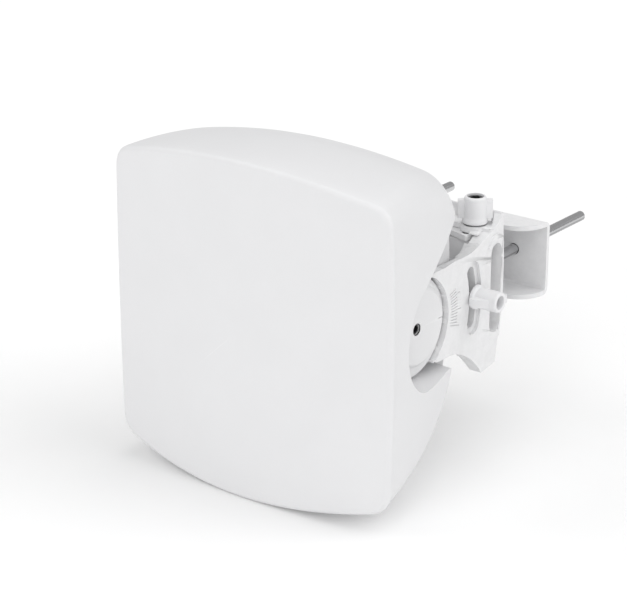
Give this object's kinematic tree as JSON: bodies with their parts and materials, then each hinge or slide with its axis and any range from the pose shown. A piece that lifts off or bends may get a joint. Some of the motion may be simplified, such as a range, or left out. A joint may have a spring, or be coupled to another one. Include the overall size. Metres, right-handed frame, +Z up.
{
  "type": "outdoor wireless bridge",
  "caption": "Domed square outdoor radio housing on a tilting two-armed yoke with locking knobs and a sliding two-rod pole clamp.",
  "frame": {"origin": "on the axis of the pole that the clamp grips, at the height of the tilt axis less 0.5 mm", "axes": "+Z up along the pole, -Y the way the front face looks, +X to the object's left side as it faces forward"},
  "size_m": [0.2446, 0.3583, 0.2521],
  "materials": {
    "shell_white": "fine matt texture",
    "cast_white": "white powder coat",
    "sheet_white": "white powder coat",
    "knob_white": "matt",
    "steel": "bright zinc",
    "dark_steel": "dark oxide",
    "rubber": "matt",
    "aluminium": "plain",
    "board": "solder mask",
    "ceramic": "fired",
    "grey_plastic": "matt",
    "light_pipe": "frosted"
  },
  "bodies": {
    "bracket": {"pole_bracket": "cast_white", "swing_pin": "steel", "clamp_rod_r": "steel", "clamp_rod_l": "steel", "rod_nut_r": "steel", "rod_nut_l": "steel"},
    "yoke_body": {"yoke": "cast_white", "swing_washer_r": "dark_steel", "swing_washer_l": "dark_steel", "swing_nut_r": "steel", "swing_nut_l": "steel"},
    "radio": {"radome_shell": "shell_white", "rear_cover": "cast_white", "cover_gasket": "rubber", "cable_seal": "rubber", "door_pin": "steel", "vent_plug": "grey_plastic", "ground_screw": "steel", "cover_screw_1": "steel", "cover_screw_2": "steel", "cover_screw_3": "steel", "cover_screw_4": "steel", "chassis_plate": "aluminium", "main_board": "board", "rf_shield": "steel", "array_board": "board", "array_lens": "grey_plastic", "patch_antenna_r": "aluminium", "patch_antenna_l": "aluminium", "gnss_patch": "ceramic", "ethernet_jack": "aluminium", "fibre_cage": "aluminium", "status_light_pipe": "light_pipe", "tilt_plate_r": "sheet_white", "tilt_plate_l": "sheet_white", "pivot_cap_r": "shell_white", "pivot_cap_l": "shell_white", "pivot_screw_r": "dark_steel", "pivot_screw_l": "dark_steel", "tilt_nut_r": "steel", "tilt_nut_l": "steel"},
    "door": {"port_door": "cast_white"},
    "button": {"reset_button": "grey_plastic"},
    "tilt_lock_r": {"tilt_knob_r": "knob_white", "tilt_stud_r": "steel"},
    "tilt_lock_l": {"tilt_knob_l": "knob_white", "tilt_stud_l": "steel"},
    "swing_lock_r": {"swing_knob_r": "knob_white", "swing_bolt_r": "dark_steel"},
    "swing_lock_l": {"swing_knob_l": "knob_white", "swing_bolt_l": "dark_steel"},
    "clamp": {"rear_clamp": "sheet_white", "clamp_washer_r": "steel", "clamp_washer_l": "steel"},
    "nut_r": {"clamp_nut_r": "steel"},
    "nut_l": {"clamp_nut_l": "steel"}
  },
  "joints": [
    {"name": "fine_swing", "type": "hinge", "parent": "bracket", "child": "yoke_body", "pos_m": [0, -0.044, 0.046], "axis": [0, 0, 1], "range_deg": [-6, 6]},
    {"name": "tilt", "type": "hinge", "parent": "yoke_body", "child": "radio", "pos_m": [0, -0.1452, 0.0005], "axis": [1, 0, 0], "range_deg": [-13, 8]},
    {"name": "door_hinge", "type": "hinge", "parent": "radio", "child": "door", "pos_m": [0, -0.0874, -0.051], "axis": [1, 0, 0], "range_deg": [-100, 0]},
    {"name": "reset_press", "type": "slide", "parent": "radio", "child": "button", "axis": [0, -1, 0], "range_m": [0, 0.001], "stiffness_N_per_m": 300, "springref_m": -0.0005},
    {"name": "tilt_lock_turn_r", "type": "hinge", "parent": "radio", "child": "tilt_lock_r", "pos_m": [0.1, -0.073, 0.0033], "axis": [1, 0, 0], "continuous": true},
    {"name": "tilt_lock_turn_l", "type": "hinge", "parent": "radio", "child": "tilt_lock_l", "pos_m": [-0.1, -0.073, 0.0033], "axis": [-1, 0, 0], "continuous": true},
    {"name": "swing_lock_turn_r", "type": "hinge", "parent": "yoke_body", "child": "swing_lock_r", "pos_m": [0.08, -0.05, 0.05], "axis": [0, 0, 1], "continuous": true},
    {"name": "swing_lock_turn_l", "type": "hinge", "parent": "yoke_body", "child": "swing_lock_l", "pos_m": [-0.08, -0.05, 0.05], "axis": [0, 0, 1], "continuous": true},
    {"name": "clamp_slide", "type": "slide", "parent": "bracket", "child": "clamp", "axis": [0, 1, 0], "range_m": [-0.011, 0.08]},
    {"name": "clamp_nut_turn_r", "type": "hinge", "parent": "clamp", "child": "nut_r", "pos_m": [0.0622, 0.042, 0.002], "axis": [0, 1, 0], "continuous": true},
    {"name": "clamp_nut_turn_l", "type": "hinge", "parent": "clamp", "child": "nut_l", "pos_m": [-0.0622, 0.042, 0.002], "axis": [0, 1, 0], "continuous": true}
  ]
}
